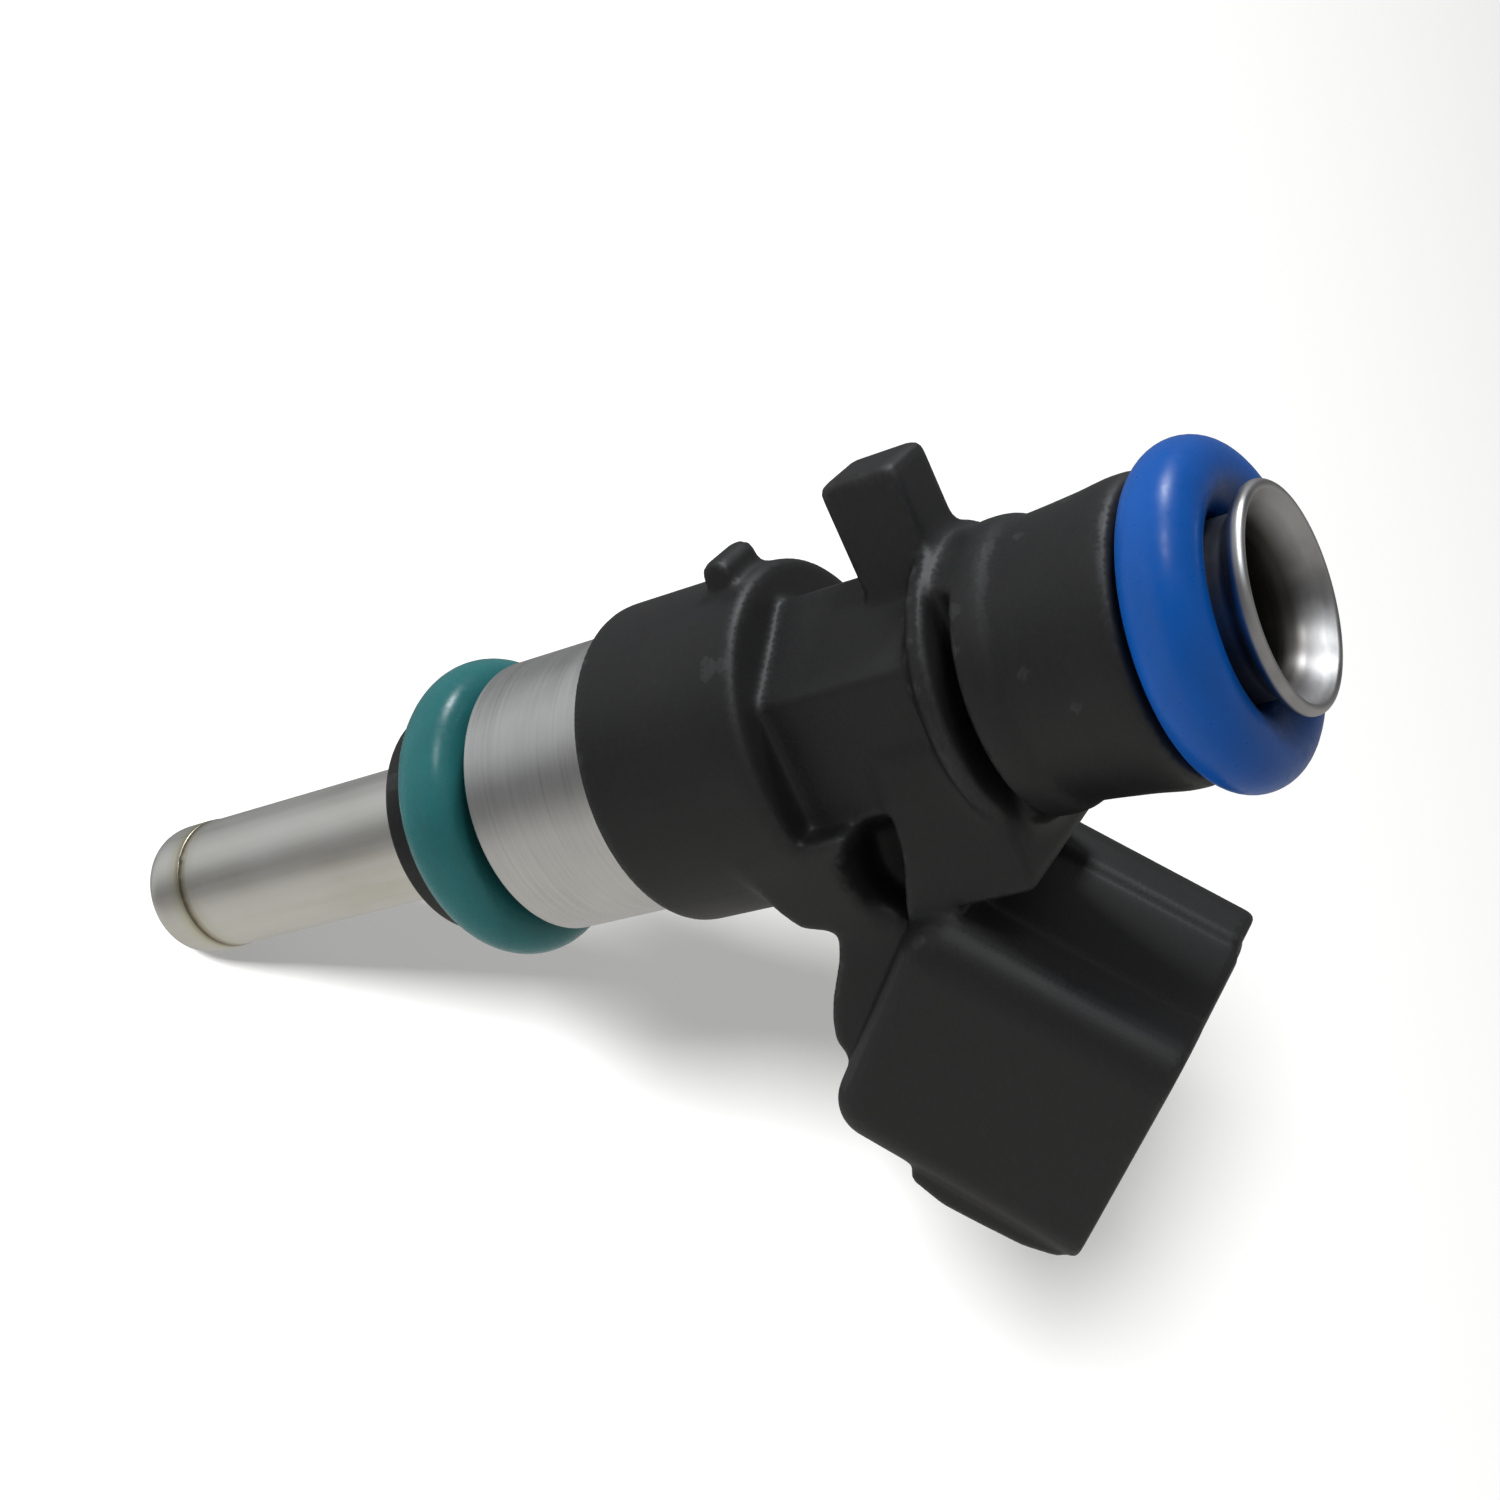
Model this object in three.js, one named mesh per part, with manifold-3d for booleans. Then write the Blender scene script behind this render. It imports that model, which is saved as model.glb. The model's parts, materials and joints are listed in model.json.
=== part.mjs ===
// A port fuel injector with an extended tip, in millimetres.
// +Z runs along the injector towards its fuel inlet, and +X points at the electrical connector.
// The origin is on the axis, inside the lower O-ring and 0.2 mm below its mid-plane.
import * as THREE from 'three';
import { mergeVertices } from 'three/addons/utils/BufferGeometryUtils.js';
import Module from 'manifold-3d';

const wasm = await Module();
wasm.setup();

// ---- driving dimensions -------------------------------------------------------------------
const FIT = 0.05;              // radial gap between pieces that are pressed or moulded together
const SIDES = 32;              // facets round a large turned piece
const SMALL_SIDES = 20;        // facets round a small turned piece

const ORING_OUTER_R = 7.25;    // both O-rings fill a 14.5 mm seal diameter
const ORING_SECTION_R = 1.74;
const LOWER_ORING_Z = 0.2;
const UPPER_ORING_Z = 37.46;

const TIP_R = 3.38;            // extended tip, outside
const TIP_BORE_R = 2.75;
const TUBE_R = 3.0;            // thin tube inside the coil, outside
const TUBE_BORE_R = 2.6;
const WELD_Z = -20.05;         // lower end of the tip tube, where the valve seat is welded on
const TIP_END_Z = -22.95;
const TUBE_STEP_Z = 3.9;       // shoulder where the tip tube becomes the thin tube
const TUBE_SPLIT_Z = 9.3;      // top of the tip tube, under the non-magnetic ring
const RING_TOP_Z = 11.6;

const INLET_R = 3.75;          // wide stretch of the inlet tube, under the upper O-ring
const INLET_BORE_R = 3.15;
const INLET_TOP_Z = 40.42;
const FLARE_R = 4.75;
const WIDEN_Z = 29.2;          // the inlet tube starts to widen here

const HOUSING_R = 6.5;
const HOUSING_BORE_R = 5.8;
const HOUSING_BOTTOM_Z = 2.75;
const HOUSING_FLOOR_Z = 5.0;
const HOUSING_TOP_Z = 17.4;

const SUPPORT_BOTTOM_Z = -3.05;
const SUPPORT_FLANGE_R = 5.58;
const SUPPORT_HUB_R = 3.74;

const SKIRT_R = 7.45;
const SKIRT_BOTTOM_Z = 10.0;
const SKIRT_TOP_Z = 18.8;
const SKIRT_EDGE = 0.45;
const HEX_CORNER_R = 5.86;
const COLLAR_R = 6.72;
const SLOT_BOTTOM_Z = 27.59;   // retaining-clip slot
const SLOT_TOP_Z = 28.5;
const SLOT_FLOOR_Y = 3.5;
const NECK_TOP_Z = 35.7;

const LUG = { tipX: -10.3, rootX: -4, halfWidth: 1.75, low: 23.75, high: 27.4, edge: 0.25 };
const TAB = { tipX: -8.65, rootX: -6.9, halfWidth: 1.5, low: 16.6, high: 18.0, edge: 0.35 };

// The connector is drawn along its own axis u, which leans 45 degrees from +X towards +Z,
// with v square to it in the XZ plane and y across.
const CONNECTOR_LEAN = Math.PI / 4;
const BOX = { back: 20.8, mouth: 33.5, low: -1.94, high: 11.0, halfWidth: 7.0, corner: 2.1 };
const BACK_ROUND = 1.8;         // rounding of the connector's closed end
const WALL = 1.3;
const SOCKET_FLOOR_U = 22.5;
const CREST = { halfWidth: 3.06, depth: 0.3, start: 23.0 };      // shallow flat in the top wall
const RAIL = { inner: 4.6, outer: 6.3, rootV: -0.74 };            // skids under the connector
const ELBOW = { startX: 8.05, halfWidth: 4.75 };
const MOUTH_STEP = { y: 2.9, v: 8.5, u: 33.3 };                   // keying step in the mouth's edge

const BLADE = { y: 2.5, halfWidth: 1.4, halfThickness: 0.3, tipU: 28.8, lineV: 4.5 };
const BLADE_FOOT = { x: 3.75, z: 15.95, turnZ: 18.3 };
const BLADE_GAP = 0.12;

const LIFT = 0.08;             // needle travel
const ARMATURE_TOP_Z = 10.52;
const POLE_FACE_Z = ARMATURE_TOP_Z + LIFT + 0.01;   // the armature stops against the inner pole
const ARMATURE_BOTTOM_Z = 5.2;
const ARMATURE_R = 2.55;
const SPRING_SEAT_Z = 9.3;
const SLEEVE_BOTTOM_Z = 14.5;
const SPRING = { wireR: 0.15, meanR: 0.92, turns: 7, steps: 70, sides: 5 };
const NEEDLE_R = 1.0;
const NEEDLE_BORE_R = 0.6;
const BALL_R = 1.5;
const BALL_Z = -20.0;
const SEAT_GAP = 0.02;

// ---- building helpers -----------------------------------------------------------------------
function finish(colour, roughness, metalness) {
  return new THREE.MeshStandardMaterial({ color: colour, roughness, metalness });
}

const finishes = {
  blackPlastic: () => finish(0x262628, 0.55, 0.0),
  brushedSteel: () => finish(0xa9a8a3, 0.35, 1.0),
  polishedSteel: () => finish(0x8f8c88, 0.22, 1.0),
  magnetSteel: () => finish(0x77777a, 0.45, 1.0),
  springSteel: () => finish(0x9a9a9a, 0.3, 1.0),
  blueRubber: () => finish(0x1455b4, 0.4, 0.0),
  tealRubber: () => finish(0x1f6363, 0.42, 0.0),
  copper: () => finish(0xb3632f, 0.35, 1.0),
  tinnedBrass: () => finish(0xc9c4b4, 0.3, 1.0),
  filterPlastic: () => finish(0xd8d2c0, 0.5, 0.0),
  filterMesh: () => finish(0xb9bab6, 0.6, 0.4),
};

// Turns a list of [radius, z] points about Z. The points run up the outside and down the
// inside; a profile that doesn't begin and end on the axis is closed into a ring.
function turned(profile, sides = SIDES) {
  const points = profile.map(([r, z]) => new THREE.Vector2(r, z));
  const onAxis = profile[0][0] === 0 && profile[profile.length - 1][0] === 0;
  if (!onAxis) points.push(points[0].clone());
  const geometry = new THREE.LatheGeometry(points, sides);
  geometry.rotateX(Math.PI / 2);
  return geometry;
}

// Points on an arc in the [radius, z] plane, angles in degrees from the radius direction.
function arc(r, z, radius, from, to, steps) {
  return Array.from({ length: steps + 1 }, (_, i) => {
    const a = THREE.MathUtils.degToRad(from + (to - from) * i / steps);
    return [r + radius * Math.cos(a), z + radius * Math.sin(a)];
  });
}

function box(low, high) {
  const size = high.map((value, i) => value - low[i]);
  const geometry = new THREE.BoxGeometry(...size);
  geometry.translate(...low.map((value, i) => value + size[i] / 2));
  return geometry;
}

// A slab with its outline in the XZ plane and its thickness across Y, centred on y = middle.
function slabXZ(outline, halfWidth, middle = 0) {
  const shape = new THREE.Shape(outline.map(([x, z]) => new THREE.Vector2(x, z)));
  const geometry = new THREE.ExtrudeGeometry(shape, { depth: 2 * halfWidth, bevelEnabled: false });
  geometry.rotateX(Math.PI / 2);
  geometry.translate(0, middle + halfWidth, 0);
  return geometry;
}

// A block whose outline in the XZ plane is a rectangle with its four corners cut off.
function chamferedBlock({ tipX, rootX, halfWidth, low, high, edge }) {
  return slabXZ([
    [tipX + edge, low], [rootX, low], [rootX, high], [tipX + edge, high],
    [tipX, high - edge], [tipX, low + edge],
  ], halfWidth);
}

function roundedRectangle(halfWidth, low, high, corner) {
  const shape = new THREE.Shape();
  shape.moveTo(halfWidth, low + corner);
  shape.lineTo(halfWidth, high - corner);
  shape.absarc(halfWidth - corner, high - corner, corner, 0, Math.PI / 2);
  shape.absarc(-halfWidth + corner, high - corner, corner, Math.PI / 2, Math.PI);
  shape.absarc(-halfWidth + corner, low + corner, corner, Math.PI, 1.5 * Math.PI);
  shape.absarc(halfWidth - corner, low + corner, corner, 1.5 * Math.PI, 2 * Math.PI);
  return shape;
}

// Sends a geometry drawn with x = across, y = v and z = u to its place on the leaning connector.
function leaned(geometry) {
  const across = new THREE.Vector3(0, 1, 0);
  const v = new THREE.Vector3(-Math.sin(CONNECTOR_LEAN), 0, Math.cos(CONNECTOR_LEAN));
  const u = new THREE.Vector3(Math.cos(CONNECTOR_LEAN), 0, Math.sin(CONNECTOR_LEAN));
  geometry.applyMatrix4(new THREE.Matrix4().makeBasis(across, v, u));
  return geometry;
}

function connectorPoint(u, v) {
  const c = Math.cos(CONNECTOR_LEAN);
  const s = Math.sin(CONNECTOR_LEAN);
  return [u * c - v * s, u * s + v * c];
}

function connectorPrism(shape, from, to) {
  const geometry = new THREE.ExtrudeGeometry(shape, { depth: to - from, bevelEnabled: false, curveSegments: 5 });
  geometry.translate(0, 0, from);
  return leaned(geometry);
}

// three.js geometry to a manifold solid, and back.
function solid(geometry) {
  const plain = geometry.clone();
  plain.deleteAttribute('normal');
  plain.deleteAttribute('uv');
  const merged = mergeVertices(plain, 1e-5);
  const index = merged.index.array;
  const triangles = [];
  for (let i = 0; i < index.length; i += 3) {
    const [a, b, c] = [index[i], index[i + 1], index[i + 2]];
    if (a !== b && b !== c && c !== a) triangles.push(a, b, c);
  }
  return new wasm.Manifold(new wasm.Mesh({
    numProp: 3,
    vertProperties: new Float32Array(merged.attributes.position.array),
    triVerts: new Uint32Array(triangles),
  }));
}

function union(geometries) {
  return geometries.map(solid).reduce((whole, next) => whole.add(next));
}

function cut(whole, geometries) {
  return geometries.map(solid).reduce((rest, tool) => rest.subtract(tool), whole);
}

function geometryOf(manifold) {
  const mesh = manifold.getMesh();
  const geometry = new THREE.BufferGeometry();
  geometry.setAttribute('position', new THREE.BufferAttribute(new Float32Array(mesh.vertProperties), 3));
  geometry.setIndex(new THREE.BufferAttribute(new Uint32Array(mesh.triVerts), 1));
  geometry.computeVertexNormals();
  return geometry;
}

const injector = new THREE.Group();
const fixedPieces = new THREE.Group();
const needleAssembly = new THREE.Group();
injector.add(fixedPieces, needleAssembly);

function addPiece(group, name, geometry, material) {
  const mesh = new THREE.Mesh(geometry, material);
  mesh.name = name;
  group.add(mesh);
}

// ---- fuel path: inlet, tubes and filter -----------------------------------------------------
// Drawn steel tube: thin inside the coil, widened under the upper O-ring and flared at the mouth.
function fuelInletTube() {
  const rise = INLET_R - TUBE_R;
  return turned([
    [TUBE_R, RING_TOP_Z + FIT], [TUBE_R, WIDEN_Z], [INLET_R, WIDEN_Z + rise],
    [INLET_R, INLET_TOP_Z - 1.25], [FLARE_R - 0.2, INLET_TOP_Z - 0.8], [FLARE_R, INLET_TOP_Z - 0.45],
    [FLARE_R, INLET_TOP_Z - 0.25], [FLARE_R - 0.15, INLET_TOP_Z], [FLARE_R - 0.4, INLET_TOP_Z],
    [FLARE_R - 0.9, INLET_TOP_Z - 0.7], [INLET_BORE_R + 0.25, INLET_TOP_Z - 1.3], [INLET_BORE_R, INLET_TOP_Z - 2.0],
    [INLET_BORE_R, WIDEN_Z + rise], [TUBE_BORE_R, WIDEN_Z + 0.2], [TUBE_BORE_R, RING_TOP_Z + FIT],
  ]);
}

// Short ring that breaks the magnetic path between the tip tube and the inlet tube.
function nonMagneticRing() {
  return turned([
    [TUBE_R, TUBE_SPLIT_Z + FIT], [TUBE_R, RING_TOP_Z], [TUBE_BORE_R, RING_TOP_Z], [TUBE_BORE_R, TUBE_SPLIT_Z + FIT],
  ]);
}

function tipTube() {
  return turned([
    [TIP_R, WELD_Z], [TIP_R, TUBE_STEP_Z], [TUBE_R, TUBE_STEP_Z], [TUBE_R, TUBE_SPLIT_Z],
    [TUBE_BORE_R, TUBE_SPLIT_Z], [TUBE_BORE_R, TUBE_STEP_Z + 0.8], [TIP_BORE_R, TUBE_STEP_Z + 0.5], [TIP_BORE_R, WELD_Z],
  ]);
}

const FILTER = { ringTop: 36.3, ringBottom: 34.9, frameTop: 34.8, frameBottom: 30.5, ringBore: 2.6 };

// Steel ring pressed into the inlet; it holds the filter basket under it.
function filterRing() {
  const outer = INLET_BORE_R - FIT;
  return turned([
    [outer, FILTER.ringBottom], [outer, FILTER.ringTop], [outer - 0.1, FILTER.ringTop],
    [FILTER.ringBore, FILTER.ringTop - 0.35], [FILTER.ringBore, FILTER.ringBottom],
  ], SMALL_SIDES);
}

const SCREEN = { outer: 2.2, inner: 2.02, bottom: 31.2, top: 34.0 };

// Moulded basket: a collar, a floor and four ribs outside the screen.
function filterFrame() {
  const collar = turned([
    [INLET_BORE_R - FIT, SCREEN.top + 0.1], [INLET_BORE_R - FIT, FILTER.frameTop],
    [2.1, FILTER.frameTop], [2.1, SCREEN.top + 0.1],
  ], SMALL_SIDES);
  const floor = turned([
    [0, FILTER.frameBottom], [2.45, FILTER.frameBottom], [2.7, SCREEN.bottom - 0.1], [0, SCREEN.bottom - 0.1],
  ], SMALL_SIDES);
  const ribs = [0, 1, 2, 3].map((i) => {
    const rib = box([2.25, -0.25, SCREEN.bottom - 0.4], [2.7, 0.25, SCREEN.top + 0.4]);
    rib.rotateZ(i * Math.PI / 2);
    return rib;
  });
  return geometryOf(union([collar, floor, ...ribs]));
}

function filterScreen() {
  return turned([
    [SCREEN.outer, SCREEN.bottom], [SCREEN.outer, SCREEN.top], [SCREEN.inner, SCREEN.top], [SCREEN.inner, SCREEN.bottom],
  ], SMALL_SIDES);
}

addPiece(fixedPieces, 'fuel_inlet_tube', fuelInletTube(), finishes.polishedSteel());
addPiece(fixedPieces, 'non_magnetic_ring', nonMagneticRing(), finishes.polishedSteel());
addPiece(fixedPieces, 'tip_tube', tipTube(), finishes.brushedSteel());
addPiece(fixedPieces, 'filter_ring', filterRing(), finishes.polishedSteel());
addPiece(fixedPieces, 'filter_frame', filterFrame(), finishes.filterPlastic());
addPiece(fixedPieces, 'filter_screen', filterScreen(), finishes.filterMesh());

// ---- seals --------------------------------------------------------------------------------
function oRing(z) {
  const centreR = ORING_OUTER_R - ORING_SECTION_R;
  const ring = arc(centreR, z, ORING_SECTION_R, 0, 324, 9);
  return turned(ring);
}

// Plastic ring pressed over the tip tube: its hub carries the O-ring and its flange keeps it on.
function supportRing() {
  const bore = TIP_R + FIT;
  const flangeTopZ = LOWER_ORING_Z - ORING_SECTION_R - 0.1;
  return turned([
    [bore, SUPPORT_BOTTOM_Z], [SUPPORT_FLANGE_R - 0.1, SUPPORT_BOTTOM_Z], [SUPPORT_FLANGE_R, SUPPORT_BOTTOM_Z + 0.1],
    [SUPPORT_FLANGE_R, flangeTopZ], [SUPPORT_HUB_R, flangeTopZ],
    [SUPPORT_HUB_R, HOUSING_BOTTOM_Z - FIT], [bore, HOUSING_BOTTOM_Z - FIT],
  ]);
}

addPiece(fixedPieces, 'upper_o_ring', oRing(UPPER_ORING_Z), finishes.blueRubber());
addPiece(fixedPieces, 'lower_o_ring', oRing(LOWER_ORING_Z), finishes.tealRubber());
addPiece(fixedPieces, 'support_ring', supportRing(), finishes.blackPlastic());

// ---- magnetic circuit ---------------------------------------------------------------------
// Steel cup round the coil. The tip tube's shoulder comes up under its floor.
function magnetHousing() {
  return turned([
    [TIP_R + FIT, HOUSING_BOTTOM_Z], [HOUSING_R - 0.12, HOUSING_BOTTOM_Z], [HOUSING_R, HOUSING_BOTTOM_Z + 0.12],
    [HOUSING_R, HOUSING_TOP_Z], [HOUSING_BORE_R, HOUSING_TOP_Z], [HOUSING_BORE_R, HOUSING_FLOOR_Z],
    [TUBE_R + FIT, HOUSING_FLOOR_Z], [TUBE_R + FIT, TUBE_STEP_Z + FIT], [TIP_R + FIT, TUBE_STEP_Z + FIT],
  ]);
}

const BOBBIN = { bottom: 5.1, top: 15.9, flange: 0.7, flangeR: 5.7, coreR: 3.5 };

function coilBobbin() {
  const bore = TUBE_R + 0.08;
  return turned([
    [bore, BOBBIN.bottom], [BOBBIN.flangeR, BOBBIN.bottom], [BOBBIN.flangeR, BOBBIN.bottom + BOBBIN.flange],
    [BOBBIN.coreR, BOBBIN.bottom + BOBBIN.flange], [BOBBIN.coreR, BOBBIN.top - BOBBIN.flange],
    [BOBBIN.flangeR, BOBBIN.top - BOBBIN.flange], [BOBBIN.flangeR, BOBBIN.top], [bore, BOBBIN.top],
  ], SMALL_SIDES);
}

// Enamelled wire wound in layers; its outside shows as a row of ridges.
function coilWinding() {
  const low = BOBBIN.bottom + BOBBIN.flange + FIT;
  const high = BOBBIN.top - BOBBIN.flange - FIT;
  const ridges = 7;
  const pitch = (high - low) / ridges;
  const outside = [[5.3, low]];
  for (let i = 0; i < ridges; i += 1) {
    outside.push([5.45, low + (i + 0.5) * pitch], [5.3, low + (i + 1) * pitch]);
  }
  return turned([...outside, [BOBBIN.coreR + FIT, high], [BOBBIN.coreR + FIT, low]], SMALL_SIDES);
}

// Steel washer that closes the magnetic path over the coil, with a slot for the terminals.
function fluxWasher() {
  const ring = turned([
    [TUBE_R + FIT, BOBBIN.top + 0.15], [HOUSING_BORE_R - FIT, BOBBIN.top + 0.15],
    [HOUSING_BORE_R - FIT, HOUSING_TOP_Z - 0.1], [TUBE_R + FIT, HOUSING_TOP_Z - 0.1],
  ]);
  const slot = box([BLADE_FOOT.x - 0.8, -4.2, BOBBIN.top], [HOUSING_R, 4.2, HOUSING_TOP_Z + 0.5]);
  return geometryOf(cut(solid(ring), [slot]));
}

function innerPole() {
  return turned([
    [1.25, POLE_FACE_Z], [ARMATURE_R - 0.1, POLE_FACE_Z], [ARMATURE_R, POLE_FACE_Z + 0.2], [ARMATURE_R, 21.8],
    [ARMATURE_R - 0.2, 22.0], [1.5, 22.0], [1.25, 21.7],
  ], SMALL_SIDES);
}

// Slit spring sleeve pressed into the inner pole; its depth sets the closing spring's load.
function adjustingSleeve() {
  const sleeve = turned([[1.2, SLEEVE_BOTTOM_Z], [1.2, 19.5], [0.75, 19.5], [0.75, SLEEVE_BOTTOM_Z]], SMALL_SIDES);
  const slit = box([0, -0.15, SLEEVE_BOTTOM_Z - 1], [2, 0.15, 20.5]);
  return geometryOf(cut(solid(sleeve), [slit]));
}

// Helix whose end turns lie nearly flat, as ground spring ends do.
class SpringLine extends THREE.Curve {
  getPoint(t) {
    const angle = 2 * Math.PI * SPRING.turns * t;
    const low = SPRING_SEAT_Z + SPRING.wireR + FIT;
    const high = SLEEVE_BOTTOM_Z - SPRING.wireR - FIT;
    const eased = t - Math.sin(2 * Math.PI * t) / (2 * Math.PI) * 0.6;
    return new THREE.Vector3(
      SPRING.meanR * Math.cos(angle), SPRING.meanR * Math.sin(angle), low + (high - low) * eased);
  }
}

function closingSpring() {
  const section = new THREE.Shape();
  for (let i = 0; i < SPRING.sides; i += 1) {
    const a = 2 * Math.PI * i / SPRING.sides;
    const point = [SPRING.wireR * Math.cos(a), SPRING.wireR * Math.sin(a)];
    if (i === 0) section.moveTo(...point);
    else section.lineTo(...point);
  }
  return new THREE.ExtrudeGeometry(section, { steps: SPRING.steps, extrudePath: new SpringLine() });
}

addPiece(fixedPieces, 'magnet_housing', magnetHousing(), finishes.brushedSteel());
addPiece(fixedPieces, 'coil_bobbin', coilBobbin(), finishes.filterPlastic());
addPiece(fixedPieces, 'coil_winding', coilWinding(), finishes.copper());
addPiece(fixedPieces, 'flux_washer', fluxWasher(), finishes.magnetSteel());
addPiece(fixedPieces, 'inner_pole', innerPole(), finishes.magnetSteel());
addPiece(fixedPieces, 'adjusting_sleeve', adjustingSleeve(), finishes.springSteel());
addPiece(fixedPieces, 'closing_spring', closingSpring(), finishes.springSteel());

// ---- valve needle, which the coil lifts off its seat -----------------------------------------
function armature() {
  return turned([
    [NEEDLE_R + FIT, ARMATURE_BOTTOM_Z], [ARMATURE_R - 0.3, ARMATURE_BOTTOM_Z], [ARMATURE_R, ARMATURE_BOTTOM_Z + 0.3],
    [ARMATURE_R, ARMATURE_TOP_Z - 0.15], [ARMATURE_R - 0.15, ARMATURE_TOP_Z], [1.2, ARMATURE_TOP_Z],
    [1.2, SPRING_SEAT_Z], [0.7, SPRING_SEAT_Z], [0.7, 8.0], [NEEDLE_R + FIT, 8.0],
  ], SMALL_SIDES);
}

// Thin-walled needle tube with cross holes that let the fuel out above the ball.
function valveNeedle() {
  const low = BALL_Z + 1.4;
  const tube = turned([
    [NEEDLE_R, low], [NEEDLE_R, 7.95], [NEEDLE_BORE_R, 7.95], [NEEDLE_BORE_R, low],
  ], SMALL_SIDES);
  const crossHole = (z, turn) => {
    const drill = new THREE.CylinderGeometry(0.35, 0.35, 4, 12);
    drill.rotateZ(turn);
    drill.translate(0, 0, z);
    return drill;
  };
  return geometryOf(cut(solid(tube), [crossHole(3.0, 0), crossHole(-16.5, Math.PI / 2)]));
}

function valveBall() {
  const ball = new THREE.SphereGeometry(BALL_R, 20, 12);
  ball.rotateX(Math.PI / 2);
  ball.translate(0, 0, BALL_Z);
  return ball;
}

addPiece(needleAssembly, 'armature', armature(), finishes.magnetSteel());
addPiece(needleAssembly, 'valve_needle', valveNeedle(), finishes.polishedSteel());
addPiece(needleAssembly, 'valve_ball', valveBall(), finishes.polishedSteel());

// ---- tip end --------------------------------------------------------------------------------
const SEAT_TOP_Z = WELD_Z - 0.15;
const SEAT_R = 3.44;
const SEAT_ROUND = 1.5;
const DISC = { r: 1.6, bottom: -22.55, top: -22.35 };

// Ring with flow notches that keeps the ball centred over the seat.
function ballGuide() {
  const ring = turned([
    [BALL_R + 0.06, BALL_Z - 0.1], [TIP_BORE_R - FIT, BALL_Z - 0.1],
    [TIP_BORE_R - FIT, BALL_Z + 0.6], [BALL_R + 0.06, BALL_Z + 0.6],
  ], SMALL_SIDES);
  const notches = [0, 1, 2, 3].map((i) => {
    const notch = box([BALL_R - 0.3, -0.35, BALL_Z - 1], [2.2, 0.35, BALL_Z + 1]);
    notch.rotateZ(Math.PI / 4 + i * Math.PI / 2);
    return notch;
  });
  return geometryOf(cut(solid(ring), notches));
}

// Welded end of the tip: the cone that the ball closes, the orifice and the spray disc's recess.
function valveSeat() {
  const contactR = BALL_R * Math.SQRT1_2;
  const contactZ = BALL_Z - contactR - SEAT_GAP * Math.SQRT2;
  const coneR = (z) => contactR + (z - contactZ);
  const orificeR = 0.45;
  const recessTop = DISC.top + FIT;
  return turned([
    [orificeR, recessTop], [DISC.r + FIT, recessTop], [DISC.r + FIT, TIP_END_Z],
    ...arc(SEAT_R - SEAT_ROUND, TIP_END_Z + SEAT_ROUND, SEAT_ROUND, -90, 0, 6),
    [SEAT_R, SEAT_TOP_Z], [coneR(SEAT_TOP_Z), SEAT_TOP_Z], [orificeR, contactZ - contactR + orificeR],
  ]);
}

function sprayDisc() {
  const disc = turned([[0, DISC.bottom], [DISC.r, DISC.bottom], [DISC.r, DISC.top], [0, DISC.top]], SMALL_SIDES);
  const holes = [0, 1, 2, 3].map((i) => {
    const hole = new THREE.CylinderGeometry(0.11, 0.11, 1, 8);
    hole.rotateX(Math.PI / 2);
    hole.translate(0.3, 0, (DISC.bottom + DISC.top) / 2);
    hole.rotateZ(Math.PI / 4 + i * Math.PI / 2);
    return hole;
  });
  return geometryOf(cut(solid(disc), holes));
}

addPiece(fixedPieces, 'ball_guide', ballGuide(), finishes.polishedSteel());
addPiece(fixedPieces, 'valve_seat', valveSeat(), finishes.brushedSteel());
addPiece(fixedPieces, 'spray_disc', sprayDisc(), finishes.polishedSteel());

// ---- terminals ------------------------------------------------------------------------------
// Outline of a terminal in the XZ plane: up from the bobbin, across under the bridge and out
// along the connector. grow widens it all round, for the channel that the moulding leaves.
function bladeOutline(grow) {
  const half = BLADE.halfThickness + grow;
  const low = BLADE_FOOT.turnZ - half;
  const high = BLADE_FOOT.turnZ + half;
  const left = BLADE_FOOT.x - half;
  const right = BLADE_FOOT.x + half;
  const onLine = (z, v) => z - v * Math.SQRT2;
  const under = BLADE.lineV - half;
  const over = BLADE.lineV + half;
  return [
    [left, BLADE_FOOT.z - grow], [right, BLADE_FOOT.z - grow], [right, low], [onLine(low, under), low],
    connectorPoint(BLADE.tipU + grow - 0.5, under), connectorPoint(BLADE.tipU + grow, under + 0.2),
    connectorPoint(BLADE.tipU + grow, over - 0.2), connectorPoint(BLADE.tipU + grow - 0.5, over),
    [onLine(high, over), high], [left, high],
  ];
}

function terminal(side) {
  return slabXZ(bladeOutline(0), BLADE.halfWidth, side * BLADE.y);
}

addPiece(fixedPieces, 'terminal_left', terminal(-1), finishes.tinnedBrass());
addPiece(fixedPieces, 'terminal_right', terminal(1), finishes.tinnedBrass());

// ---- plastic overmould ------------------------------------------------------------------------
// One glass-filled moulding over the housing, the tube and the terminals.
function skirt() {
  return turned([
    [0, SKIRT_BOTTOM_Z],
    ...arc(SKIRT_R - SKIRT_EDGE, SKIRT_BOTTOM_Z + SKIRT_EDGE, SKIRT_EDGE, -90, 0, 3),
    ...arc(SKIRT_R - SKIRT_EDGE, SKIRT_TOP_Z - SKIRT_EDGE, SKIRT_EDGE, 0, 90, 3),
    [0, SKIRT_TOP_Z],
  ]);
}

function hexBody() {
  const low = SKIRT_TOP_Z - 1;
  const high = SLOT_BOTTOM_Z - 0.5;
  const prism = new THREE.CylinderGeometry(HEX_CORNER_R, HEX_CORNER_R, high - low, 6, 1, false, Math.PI / 6);
  prism.rotateX(Math.PI / 2);
  prism.translate(0, 0, (low + high) / 2);
  return prism;
}

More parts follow.
